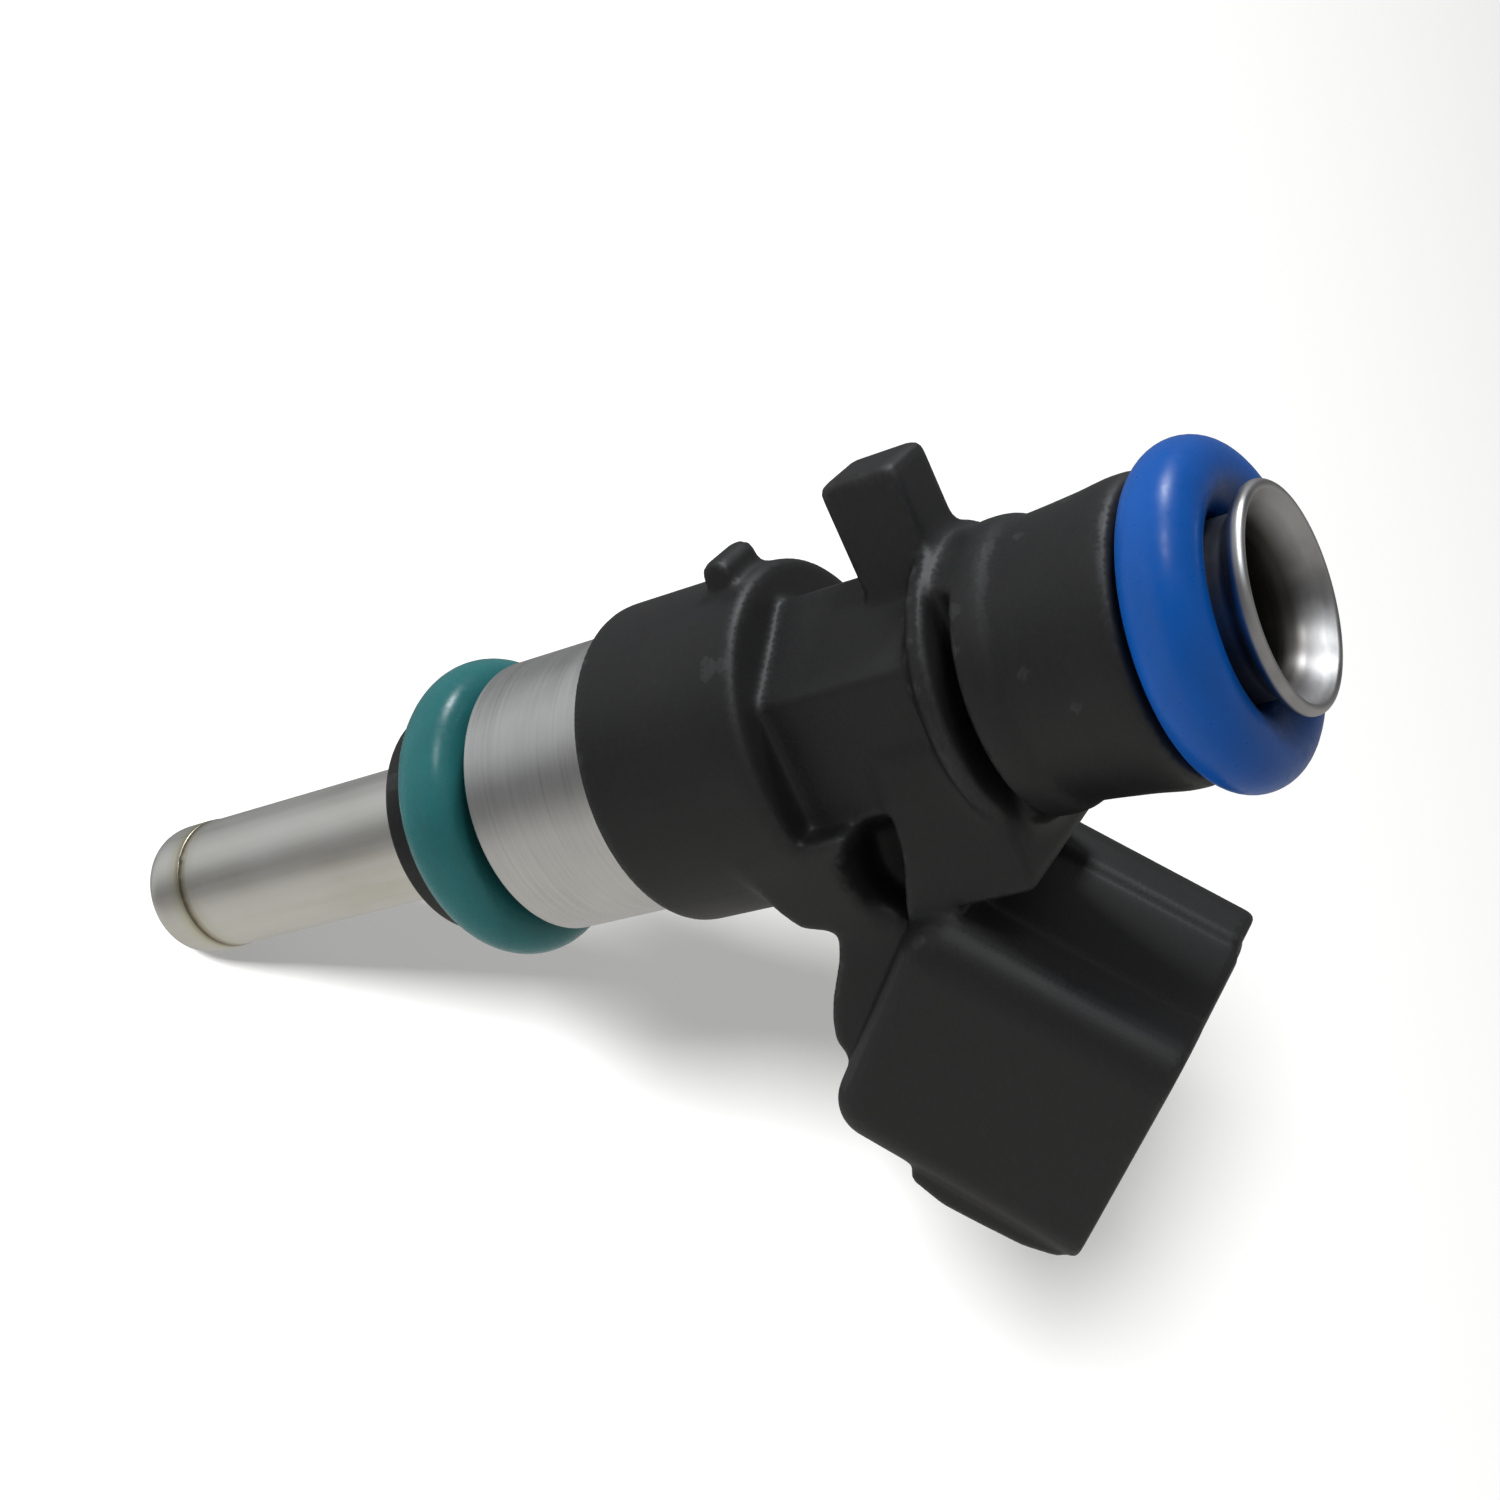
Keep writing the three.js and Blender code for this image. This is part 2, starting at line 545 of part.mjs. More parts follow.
// Collar under the clip slot, ring over it and the neck that swells up to the O-ring.
function neck() {
  return turned([
    [0, 26.1], [5.6, 26.1], [COLLAR_R, 26.9], [COLLAR_R, SLOT_BOTTOM_Z], [6.3, SLOT_BOTTOM_Z],
    [6.3, SLOT_TOP_Z], [6.36, SLOT_TOP_Z + 0.2], [6.36, 29.4], [6.28, 29.95], [6.05, 30.2], [6.14, 31.4],
    [6.3, 33.1], [6.5, 34.5], [6.5, NECK_TOP_Z - 0.2], [6.35, NECK_TOP_Z], [0, NECK_TOP_Z],
  ]);
}

// Block between the hexagon and the connector, level with the collar's top.
function bridge() {
  return slabXZ([[0.6, 23.0], [5.0, 22.3], [7.8, 21.2], [7.8, SLOT_BOTTOM_Z], [0.6, SLOT_BOTTOM_Z]], 5.2);
}

// Shoulder on the skirt: its side walls leave the skirt at a tangent and narrow to the elbow.
function shoulder() {
  const root = { x: 2.9, halfWidth: 6.84 };
  const plan = new THREE.Shape([
    new THREE.Vector2(root.x, -root.halfWidth), new THREE.Vector2(ELBOW.startX, -ELBOW.halfWidth),
    new THREE.Vector2(ELBOW.startX, ELBOW.halfWidth), new THREE.Vector2(root.x, root.halfWidth),
  ]);
  const column = new THREE.ExtrudeGeometry(plan, { depth: 8, bevelEnabled: false });
  column.translate(0, 0, 14);
  const side = slabXZ([
    [0, 15.3], [5.6, 15.4], [6.65, 15.64], [7.4, 15.95], [7.95, 17.4], [9, 17.4], [9, 19.9],
    [5.7, 19.7], [4.4, 20.0], [3.2, 21.1], [0, 21.1],
  ], 8);
  return solid(column).intersect(solid(side));
}

// Elbow behind the connector, and the web that fills the middle between it and the bridge.
function elbowAndWeb() {
  const elbow = slabXZ([
    [7.0, 17.4], [8.0, 17.35], [9.3, 16.75], [11.1, 15.55], [12.1, 15.05], [13.1, 14.75], [14.1, 15.0],
    [15.5, 15.8], [10.0, 21.2], [7.7, 20.7], [6.4, 19.3],
  ], ELBOW.halfWidth);
  const web = slabXZ([[3.0, 18.5], [8.0, 18.5], [9.6, 20.6], [7.6, 22.6], [3.0, 23.0]], 2.6);
  return [elbow, web];
}

// One of the two bowed skids under the connector's box.
function connectorRail(side) {
  const bow = [[25.4, -2.36], [27.3, -2.77], [29.2, -2.66], [31.2, -2.5], [32.9, -1.98]];
  const outline = [[25.4, RAIL.rootV], ...bow, [32.9, RAIL.rootV]].map(([u, v]) => connectorPoint(u, v));
  return slabXZ(outline, (RAIL.outer - RAIL.inner) / 2, side * (RAIL.outer + RAIL.inner) / 2);
}

function socket() {
  const hollow = roundedRectangle(BOX.halfWidth - WALL, BOX.low + WALL, BOX.high - WALL, BOX.corner - 0.8);
  return connectorPrism(hollow, SOCKET_FLOOR_U, BOX.mouth + 1);
}

// Clearance round the housing and the inlet tube, as one turned shape.
function innerBore() {
  const housingR = HOUSING_R + FIT;
  const tubeR = TUBE_R + FIT;
  const rise = INLET_R - TUBE_R;
  return turned([
    [0, SKIRT_BOTTOM_Z - 1], [housingR, SKIRT_BOTTOM_Z - 1], [housingR, HOUSING_TOP_Z + FIT],
    [tubeR, HOUSING_TOP_Z + FIT], [tubeR, WIDEN_Z - FIT], [INLET_R + FIT, WIDEN_Z + rise - FIT],
    [INLET_R + FIT, NECK_TOP_Z + 1], [0, NECK_TOP_Z + 1],
  ]);
}

// Rounded box of the connector, its closed end rounded off all round, its mouth cut square.
function shroud() {
  const inset = roundedRectangle(
    BOX.halfWidth - BACK_ROUND, BOX.low + BACK_ROUND, BOX.high - BACK_ROUND, BOX.corner - BACK_ROUND);
  const block = new THREE.ExtrudeGeometry(inset, {
    depth: BOX.mouth - BOX.back, bevelThickness: BACK_ROUND, bevelSize: BACK_ROUND, bevelSegments: 4, curveSegments: 3,
  });
  block.translate(0, 0, BOX.back + BACK_ROUND);
  const beyondMouth = leaned(box([-20, -20, BOX.mouth], [20, 30, BOX.mouth + 20]));
  const [low, high] = [[MOUTH_STEP.y, MOUTH_STEP.v, MOUTH_STEP.u], [20, 30, BOX.mouth + 1]];
  return cut(solid(leaned(block)), [beyondMouth, leaned(box(low, high))]);
}

function overmould() {
  const outside = union([
    skirt(), hexBody(), neck(), bridge(), ...elbowAndWeb(),
    connectorRail(-1), connectorRail(1), chamferedBlock(LUG), chamferedBlock(TAB),
  ]).add(shoulder()).add(shroud());
  const clipSlots = [-1, 1].map((side) => {
    const [near, far] = [side * SLOT_FLOOR_Y, side * 12].sort((a, b) => a - b);
    return box([-12, near, SLOT_BOTTOM_Z], [12, far, SLOT_TOP_Z]);
  });
  const crest = leaned(box(
    [-CREST.halfWidth, BOX.high - CREST.depth, CREST.start], [CREST.halfWidth, BOX.high + 1, BOX.mouth + 1]));
  const channels = [-1, 1].map((side) => (
    slabXZ(bladeOutline(BLADE_GAP), BLADE.halfWidth + BLADE_GAP, side * BLADE.y)));
  return geometryOf(cut(outside, [innerBore(), socket(), crest, ...clipSlots, ...channels]));
}

addPiece(fixedPieces, 'overmould', overmould(), finishes.blackPlastic());

export default injector;
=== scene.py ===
import json
from itertools import product
from math import cos, pi, sin, sqrt

import bpy
import numpy as np
from mathutils import Matrix, Vector

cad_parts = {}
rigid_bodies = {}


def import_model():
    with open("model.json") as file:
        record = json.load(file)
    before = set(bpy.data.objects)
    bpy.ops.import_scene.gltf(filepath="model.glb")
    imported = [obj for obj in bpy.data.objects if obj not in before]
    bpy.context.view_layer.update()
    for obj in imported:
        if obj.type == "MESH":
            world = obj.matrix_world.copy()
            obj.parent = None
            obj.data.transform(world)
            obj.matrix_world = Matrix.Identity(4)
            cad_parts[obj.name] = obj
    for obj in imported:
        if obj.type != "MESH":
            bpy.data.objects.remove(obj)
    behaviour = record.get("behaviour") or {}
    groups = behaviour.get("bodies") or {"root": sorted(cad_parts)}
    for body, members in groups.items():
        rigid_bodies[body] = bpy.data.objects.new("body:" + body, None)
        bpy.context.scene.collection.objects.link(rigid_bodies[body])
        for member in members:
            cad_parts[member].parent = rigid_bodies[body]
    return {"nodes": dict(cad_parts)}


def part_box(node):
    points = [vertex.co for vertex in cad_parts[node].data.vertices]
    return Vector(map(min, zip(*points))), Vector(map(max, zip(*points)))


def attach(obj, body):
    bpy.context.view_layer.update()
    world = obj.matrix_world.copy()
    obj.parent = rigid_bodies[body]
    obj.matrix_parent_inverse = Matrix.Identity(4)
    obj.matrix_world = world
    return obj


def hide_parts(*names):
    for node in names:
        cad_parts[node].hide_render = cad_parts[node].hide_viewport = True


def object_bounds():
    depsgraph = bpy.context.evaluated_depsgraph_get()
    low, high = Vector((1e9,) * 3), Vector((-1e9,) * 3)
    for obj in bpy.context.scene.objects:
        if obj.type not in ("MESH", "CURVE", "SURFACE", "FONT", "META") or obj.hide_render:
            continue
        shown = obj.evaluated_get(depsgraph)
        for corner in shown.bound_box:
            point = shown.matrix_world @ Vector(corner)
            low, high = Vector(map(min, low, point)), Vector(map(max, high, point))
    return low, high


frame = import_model()
solid_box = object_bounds()
MM = 0.001

# ---- Tip tube -------------------------------------------------------------------------------
# Long drawn stainless tube that carries the valve down to the intake port. It is turned smooth,
# steps in to pass through the coil, and its lower end is laser welded to the valve seat, which
# leaves a thin brown bead with one small blob where the weld started and stopped.
body = "injector_body"


def span(node):
    """Outer radius, foot and head of a round piece, in millimetres."""
    low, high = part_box(node)
    return high.x / MM, low.z / MM, high.z / MM


def rounded(corners, steps=6):
    """Rounds each (radius, height, fillet) corner of a closed outline."""
    outline = []
    for i, (r, z, fillet) in enumerate(corners):
        here = Vector((r, z))
        before = Vector(corners[i - 1][:2]) - here
        after = Vector(corners[(i + 1) % len(corners)][:2]) - here
        if fillet == 0:
            outline.append(here)
            continue
        start = here + before.normalized() * min(fillet, before.length * 0.49)
        end = here + after.normalized() * min(fillet, after.length * 0.49)
        for k in range(steps + 1):
            t = k / steps
            outline.append(start * (1 - t) ** 2 + here * 2 * t * (1 - t) + end * t * t)
    return outline


def turned(name, outline, sides=160, swell=None):
    """Turns a closed outline of (radius, height) points about the injector's axis."""
    points = []
    for s in range(sides):
        angle = 2 * pi * s / sides
        for r, z in outline:
            if swell:
                r += swell(angle, z)
            points.append((r * cos(angle) * MM, r * sin(angle) * MM, z * MM))
    n = len(outline)
    skin = []
    for s in range(sides):
        here, there = s * n, (s + 1) % sides * n
        for k in range(n):
            m = (k + 1) % n
            skin.append((here + k, there + k, there + m, here + m))
    mesh = bpy.data.meshes.new(name)
    mesh.from_pydata(points, [], skin)
    mesh.shade_smooth()
    mesh.set_sharp_from_angle(angle=0.7)
    piece = bpy.data.objects.new(name, mesh)
    bpy.context.scene.collection.objects.link(piece)
    return piece


def fitted(piece, finish, node):
    """Gives a new piece its finish and puts it in the place of its plain solid."""
    piece.data.materials.append(finish)
    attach(piece, body)
    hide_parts(node)


def plain_finish(name, roughness, metallic):
    finish = bpy.data.materials.new(name)
    finish.use_nodes = True
    shader = finish.node_tree.nodes["Principled BSDF"]
    shader.inputs["Roughness"].default_value = roughness
    shader.inputs["Metallic"].default_value = metallic
    return finish, finish.node_tree, shader


def grain(tree, stretch, detail=4.0):
    """Noise laid over the piece, with its fineness given along x, y and z per metre."""
    place = tree.nodes.new("ShaderNodeTexCoord")
    mapping = tree.nodes.new("ShaderNodeMapping")
    mapping.inputs["Scale"].default_value = stretch
    noise = tree.nodes.new("ShaderNodeTexNoise")
    noise.inputs["Scale"].default_value = 1.0
    noise.inputs["Detail"].default_value = detail
    tree.links.new(place.outputs["Object"], mapping.inputs["Vector"])
    tree.links.new(mapping.outputs["Vector"], noise.inputs["Vector"])
    return noise.outputs["Fac"]


def tinted(tree, driver, stops):
    """Colour that runs through the given stops as the driver goes from 0 to 1."""
    node = tree.nodes.new("ShaderNodeValToRGB")
    elements = node.color_ramp.elements
    while len(elements) < len(stops):
        elements.new(1.0)
    for element, (place, colour) in zip(elements, stops):
        element.position = place
        element.color = (*colour, 1.0)
    tree.links.new(driver, node.inputs["Fac"])
    return node.outputs["Color"]


def scaled(tree, driver, low, high, to_low, to_high):
    node = tree.nodes.new("ShaderNodeMapRange")
    limits = {"From Min": low, "From Max": high, "To Min": to_low, "To Max": to_high}
    for socket, value in limits.items():
        node.inputs[socket].default_value = value
    tree.links.new(driver, node.inputs["Value"])
    return node.outputs["Result"]


def summed(tree, first, second, operation="ADD"):
    node = tree.nodes.new("ShaderNodeMath")
    node.operation = operation
    for socket, value in zip(node.inputs, (first, second)):
        if isinstance(value, float):
            socket.default_value = value
        else:
            tree.links.new(value, socket)
    return node.outputs["Value"]


def relief(tree, shader, height, depth_mm):
    """Stands the height pattern proud of the surface by about depth_mm."""
    node = tree.nodes.new("ShaderNodeBump")
    node.inputs["Strength"].default_value = 1.0
    node.inputs["Distance"].default_value = depth_mm * MM
    tree.links.new(height, node.inputs["Height"])
    tree.links.new(node.outputs["Normal"], shader.inputs["Normal"])


def height_along_axis(tree):
    place = tree.nodes.new("ShaderNodeTexCoord")
    split = tree.nodes.new("ShaderNodeSeparateXYZ")
    tree.links.new(place.outputs["Object"], split.inputs["Vector"])
    return split.outputs["Z"]


tip_radius, weld_height, tip_head = span("tip_tube")
tip_bore = 2.75
coil_tube_radius = span("non_magnetic_ring")[0]
coil_tube_bore = 2.6
tip_shoulder = 3.9
weld_blob_angle = -2.46


def weld_swell(angle, z):
    """Unevenness of the weld bead, with its one blob."""
    on_bead = max(0.0, 1 - abs(z - weld_height) / 0.3)
    ripple = 0.008 * sin(23 * angle) + 0.006 * sin(41 * angle + 1)
    turn = (angle - weld_blob_angle + pi) % (2 * pi) - pi
    blob = 0.09 * max(0.0, 1 - (turn / 0.1) ** 2)
    return on_bead * (ripple + blob)


def blended(tree, share, first, second):
    """Goes from the first colour to the second as share goes from 0 to 1."""
    node = tree.nodes.new("ShaderNodeMix")
    node.data_type = "RGBA"
    tree.links.new(share, node.inputs["Factor"])
    tree.links.new(first, node.inputs["A"])
    tree.links.new(second, node.inputs["B"])
    return node.outputs["Result"]


def welded_steel(name):
    """Drawn steel with lengthwise streaks, straw-coloured to brown close to the weld."""
    finish, tree, shader = plain_finish(name, 0.34, 1.0)
    streaks = grain(tree, (1500, 1500, 45), 3)
    fine = grain(tree, (6000, 6000, 260), 4)
    clouds = grain(tree, (210, 210, 120), 4)
    ripple = grain(tree, (420, 420, 420), 2)
    height = height_along_axis(tree)
    steel = tinted(tree, summed(tree, clouds, scaled(tree, streaks, 0.3, 0.7, -0.12, 0.12)), [
        (0.25, (0.76, 0.74, 0.68)), (0.5, (0.85, 0.835, 0.785)), (0.75, (0.90, 0.89, 0.855)),
    ])
    reached = summed(tree, height, scaled(tree, ripple, 0.3, 0.7, -0.00005, 0.00005))
    around = (weld_height - 1.2) * MM, (weld_height + 1.2) * MM
    heat = tinted(tree, scaled(tree, reached, *around, 0.0, 1.0), [
        (0.0, (0.84, 0.83, 0.75)), (0.30, (0.76, 0.74, 0.61)), (0.42, (0.52, 0.49, 0.37)),
        (0.475, (0.25, 0.215, 0.155)), (0.525, (0.24, 0.205, 0.145)), (0.57, (0.50, 0.46, 0.36)),
        (0.68, (0.78, 0.76, 0.68)), (1.0, (0.84, 0.82, 0.77)),
    ])
    beside_weld = tinted(tree, scaled(tree, reached, *around, 0.0, 1.0), [
        (0.0, (0.0, 0.0, 0.0)), (0.25, (1.0, 1.0, 1.0)),
        (0.75, (1.0, 1.0, 1.0)), (1.0, (0.0, 0.0, 0.0)),
    ])
    tree.links.new(blended(tree, beside_weld, steel, heat), shader.inputs["Base Color"])
    roughness = scaled(tree, summed(tree, streaks, clouds), 0.6, 1.4, 0.28, 0.44)
    tree.links.new(roughness, shader.inputs["Roughness"])
    relief(tree, shader, summed(tree, streaks, fine), 0.003)
    return finish


tip_steel = welded_steel("tip_steel")
tip_outline = rounded([
    (tip_radius, weld_height + 0.32, 0.2), (tip_radius, tip_shoulder, 0.1),
    (coil_tube_radius, tip_shoulder, 0.05), (coil_tube_radius, tip_head, 0.05),
    (coil_tube_bore, tip_head, 0.05), (coil_tube_bore, tip_shoulder + 0.8, 0.1),
    (tip_bore, tip_shoulder + 0.5, 0.1), (tip_bore, weld_height - 0.12, 0.0),
    (tip_radius, weld_height - 0.13, 0.0), (tip_radius + 0.04, weld_height - 0.1, 0.05),
    (tip_radius + 0.045, weld_height + 0.14, 0.1),
])
fitted(turned("tip_tube_drawn", tip_outline, 220, weld_swell), tip_steel, "tip_tube")

# ---- Valve seat -----------------------------------------------------------------------------
# Turned steel end piece, rounded at its foot. Its cone is what the ball closes, and the spray
# disc lies in the shallow recess of its lower face.
seat_radius, seat_foot, seat_head = span("valve_seat")
seat_round = 1.5
disc_radius = span("spray_disc")[0]
disc_head = span("spray_disc")[2]
ball_radius, ball_foot, ball_head = span("valve_ball")
ball_height = (ball_foot + ball_head) / 2
contact_radius = ball_radius * sqrt(0.5)
contact_height = ball_height - contact_radius - 0.03
seat_outline = rounded([
    (0.45, disc_head + 0.05, 0.03), (disc_radius + 0.05, disc_head + 0.05, 0.03),
    (disc_radius + 0.05, seat_foot + 0.06, 0.0), (disc_radius + 0.12, seat_foot, 0.0),
    (seat_radius, seat_foot, seat_round), (seat_radius, seat_head, 0.08),
    (contact_radius + seat_head - contact_height, seat_head, 0.05),
    (0.45, contact_height - contact_radius + 0.45, 0.05),
], 12)
fitted(turned("valve_seat_turned", seat_outline, 200), tip_steel, "valve_seat")

# ---- Fuel inlet tube ------------------------------------------------------------------------
# Deep-drawn stainless tube, thin through the coil and wider under the upper O-ring. Its mouth is
# flared outwards to keep that O-ring on, and opens as a smooth funnel into the bore, whose inside
# is darkened with painted shade.
def drawn_steel(name, light, dark, roughness, shaded_bore=False):
    """Semi-bright drawn steel with fine drawing rings and faint cloudy patches."""
    finish, tree, shader = plain_finish(name, roughness, 1.0)
    rings = grain(tree, (160, 160, 5200), 4)
    clouds = grain(tree, (420, 420, 420), 4)
    colour = tinted(tree, clouds, [(0.3, dark), (0.5, light), (0.75, tuple(c * 1.12 for c in light))])
    # With shaded_bore the colour goes near black closer than 3.35 mm to the axis, mainly the bore, and
    # fades back to steel by 4 mm: painted shade, which also part-darkens the tube's outside there.
    if shaded_bore:
        place = tree.nodes.new("ShaderNodeTexCoord")
        across_axis = tree.nodes.new("ShaderNodeVectorMath")
        across_axis.operation = "MULTIPLY"
        across_axis.inputs[1].default_value = (1.0, 1.0, 0.0)
        length = tree.nodes.new("ShaderNodeVectorMath")
        length.operation = "LENGTH"
        tree.links.new(place.outputs["Object"], across_axis.inputs[0])
        tree.links.new(across_axis.outputs["Vector"], length.inputs[0])
        bore_shade = tinted(tree, clouds, [(0.3, (0.055, 0.052, 0.05)), (0.75, (0.085, 0.08, 0.075))])
        shade_free_share = scaled(tree, length.outputs["Value"], 3.35 * MM, 4.0 * MM, 0.0, 1.0)
        colour = blended(tree, shade_free_share, bore_shade, colour)
    tree.links.new(colour, shader.inputs["Base Color"])
    spread = scaled(tree, summed(tree, rings, clouds), 0.6, 1.4, roughness - 0.06, roughness + 0.1)
    tree.links.new(spread, shader.inputs["Roughness"])
    relief(tree, shader, rings, 0.002)
    return finish


inlet_steel = drawn_steel(
    "inlet_steel", (0.40, 0.396, 0.40), (0.30, 0.297, 0.30), 0.37, shaded_bore=True)
flare_radius, inlet_foot, inlet_head = span("fuel_inlet_tube")
wide_radius = 3.75
wide_bore = 3.15
widening = 29.2
rise = wide_radius - coil_tube_radius
inlet_outline = rounded([
    (coil_tube_radius, inlet_foot, 0.05), (coil_tube_radius, widening, 0.3),
    (wide_radius, widening + rise, 0.3), (wide_radius, inlet_head - 1.2, 0.3),
    (flare_radius - 0.2, inlet_head - 0.74, 0.2), (flare_radius, inlet_head - 0.45, 0.12),
    (flare_radius, inlet_head - 0.22, 0.1),
    (flare_radius - 0.15, inlet_head, 0.12), (flare_radius - 0.4, inlet_head, 0.12),
    (flare_radius - 0.9, inlet_head - 0.7, 0.3), (wide_bore + 0.25, inlet_head - 1.3, 0.3),
    (wide_bore, inlet_head - 2.0, 0.4), (wide_bore, widening + rise, 0.2),
    (coil_tube_bore, widening + 0.2, 0.2), (coil_tube_bore, inlet_foot, 0.05),
], 8)
fitted(turned("inlet_tube_drawn", inlet_outline, 220), inlet_steel, "fuel_inlet_tube")

# ---- Inlet filter ---------------------------------------------------------------------------
# Push-in strainer: a steel ring grips the tube's bore and holds a nylon basket whose four ribs
# stand round a sleeve of fine woven gauze.
ring_radius, ring_foot, ring_head = span("filter_ring")
ring_bore = 2.6
filter_ring_outline = rounded([
    (ring_radius, ring_foot, 0.1), (ring_radius, ring_head, 0.08),
    (ring_radius - 0.12, ring_head, 0.08), (ring_bore, ring_head - 0.4, 0.15),
    (ring_bore, ring_foot, 0.1),
])
fitted(turned("filter_ring_turned", filter_ring_outline, 120), inlet_steel,
       "filter_ring")


def moulded_nylon(name, colour):
    finish, tree, shader = plain_finish(name, 0.42, 0.0)
    clouds = grain(tree, (700, 700, 700), 5)
    fine = grain(tree, (16000, 16000, 16000), 3)
    deep = tuple(c * 0.82 for c in colour)
    tree.links.new(tinted(tree, clouds, [(0.3, deep), (0.7, colour)]), shader.inputs["Base Color"])
    tree.links.new(scaled(tree, clouds, 0.3, 0.7, 0.36, 0.5), shader.inputs["Roughness"])
    relief(tree, shader, fine, 0.003)
    shader.inputs["Subsurface Weight"].default_value = 0.1
    shader.inputs["Subsurface Radius"].default_value = (0.0005, 0.0005, 0.0004)
    return finish


def repainted(node, finish):
    """A solid whose shape is right already keeps it, and takes a real finish."""
    solid = frame["nodes"][node]
    solid.data.materials.clear()
    solid.data.materials.append(finish)


natural_nylon = moulded_nylon("natural_nylon", (0.62, 0.57, 0.45))
repainted("filter_frame", natural_nylon)


def woven_gauze(name):
    """Fine twill gauze, its threads crossing at about seven to the millimetre."""
    finish, tree, shader = plain_finish(name, 0.5, 0.6)
    place = tree.nodes.new("ShaderNodeTexCoord")
    threads = []
    for direction in ("Z", "DIAGONAL"):
        wave = tree.nodes.new("ShaderNodeTexWave")
        wave.wave_type = "BANDS"
        wave.bands_direction = direction
        wave.inputs["Scale"].default_value = 2300.0
        tree.links.new(place.outputs["Object"], wave.inputs["Vector"])
        threads.append(wave.outputs["Fac"])
    weave = summed(tree, threads[0], threads[1], "MULTIPLY")
    colour = tinted(tree, weave, [
        (0.0, (0.12, 0.12, 0.11)), (0.5, (0.5, 0.5, 0.47)), (1.0, (0.66, 0.65, 0.61)),
    ])
    tree.links.new(colour, shader.inputs["Base Color"])
    relief(tree, shader, weave, 0.02)
    return finish


repainted("filter_screen", woven_gauze("filter_gauze"))

# ---- Magnetic core --------------------------------------------------------------------------
# The ring between the two tubes is non-magnetic steel, so the field has to pass through the
# fixed pole and the armature, both ground from soft magnetic steel. The slotted washer closes
# the field over the coil.
break_ring_steel = drawn_steel("break_ring_steel", (0.42, 0.41, 0.39), (0.3, 0.29, 0.27), 0.26)
repainted("non_magnetic_ring", break_ring_steel)
magnet_steel = drawn_steel("ground_magnet_steel", (0.3, 0.3, 0.31), (0.2, 0.2, 0.21), 0.38)
for node in ("inner_pole", "flux_washer", "armature"):
    repainted(node, magnet_steel)

# ---- Needle, ball and guide -----------------------------------------------------------------
# A thin-walled needle tube joins the armature to a ground bearing ball, and the notched ring
# keeps the ball centred over its seat. All are hardened and bright.
ground_steel = drawn_steel("ground_valve_steel", (0.55, 0.55, 0.55), (0.42, 0.42, 0.43), 0.14)
for node in ("valve_needle", "valve_ball", "ball_guide", "spray_disc"):
    repainted(node, ground_steel)

# ---- Closing spring and its sleeve ----------------------------------------------------------
# Helix of cold-drawn spring wire that pushes the armature down, and the slit sleeve pressed into
# the pole above it. How far the sleeve goes in sets the spring's load.
spring_wire = drawn_steel("drawn_spring_wire", (0.4, 0.4, 0.41), (0.26, 0.26, 0.27), 0.3)
for node in ("closing_spring", "adjusting_sleeve"):
    repainted(node, spring_wire)

# ---- Coil -----------------------------------------------------------------------------------
# Enamelled copper wire wound in layers on a moulded nylon bobbin, which slides over the tube
# before the housing goes on.
repainted("coil_bobbin", natural_nylon)


def enamelled_copper(name):
    finish, tree, shader = plain_finish(name, 0.3, 1.0)
    turns = grain(tree, (220, 220, 9000), 2)
    colour = tinted(tree, turns, [
        (0.3, (0.24, 0.07, 0.02)), (0.55, (0.56, 0.2, 0.07)), (0.8, (0.7, 0.3, 0.12)),
    ])
    tree.links.new(colour, shader.inputs["Base Color"])
    tree.links.new(scaled(tree, turns, 0.3, 0.7, 0.22, 0.4), shader.inputs["Roughness"])
    relief(tree, shader, turns, 0.03)
    return finish


repainted("coil_winding", enamelled_copper("enamelled_copper"))

# ---- Magnet housing -------------------------------------------------------------------------
# Steel cup round the coil, turned on a lathe, so fine rings run round it and its lower rim has a
# bright broken edge. The black moulding grips its upper half.
def turned_steel(name):
    finish, tree, shader = plain_finish(name, 0.32, 1.0)
    rings = grain(tree, (110, 110, 7500), 5)
    wide_rings = grain(tree, (60, 60, 1300), 3)
    clouds = grain(tree, (240, 240, 340), 4)
    mixed = summed(tree, rings, clouds)
    colour = tinted(tree, scaled(tree, mixed, 0.6, 1.4, 0.0, 1.0), [
        (0.0, (0.60, 0.595, 0.59)), (0.5, (0.70, 0.695, 0.685)), (1.0, (0.78, 0.775, 0.765)),
    ])
    tree.links.new(colour, shader.inputs["Base Color"])
    tree.links.new(scaled(tree, mixed, 0.6, 1.4, 0.24, 0.36), shader.inputs["Roughness"])
    relief(tree, shader, summed(tree, rings, wide_rings), 0.006)
    along_axis = tree.nodes.new("ShaderNodeTangent")
    along_axis.direction_type = "RADIAL"
    along_axis.axis = "Z"
    tree.links.new(along_axis.outputs["Tangent"], shader.inputs["Tangent"])
    shader.inputs["Anisotropic"].default_value = 0.6
    shader.inputs["Anisotropic Rotation"].default_value = 0.25
    return finish


housing_radius, housing_foot, housing_head = span("magnet_housing")
housing_bore = 5.8
housing_floor = 5.0
housing_outline = rounded([
    (tip_radius + 0.05, housing_foot, 0.05), (housing_radius - 0.16, housing_foot, 0.06),
    (housing_radius, housing_foot + 0.16, 0.06), (housing_radius, housing_head, 0.1),
    (housing_bore, housing_head, 0.1), (housing_bore, housing_floor, 0.2),
    (coil_tube_radius + 0.05, housing_floor, 0.05),
    (coil_tube_radius + 0.05, tip_shoulder + 0.05, 0.0), (tip_radius + 0.05, tip_shoulder + 0.05, 0.0),
])
fitted(turned("magnet_housing_turned", housing_outline, 220),
       turned_steel("housing_steel"), "magnet_housing")

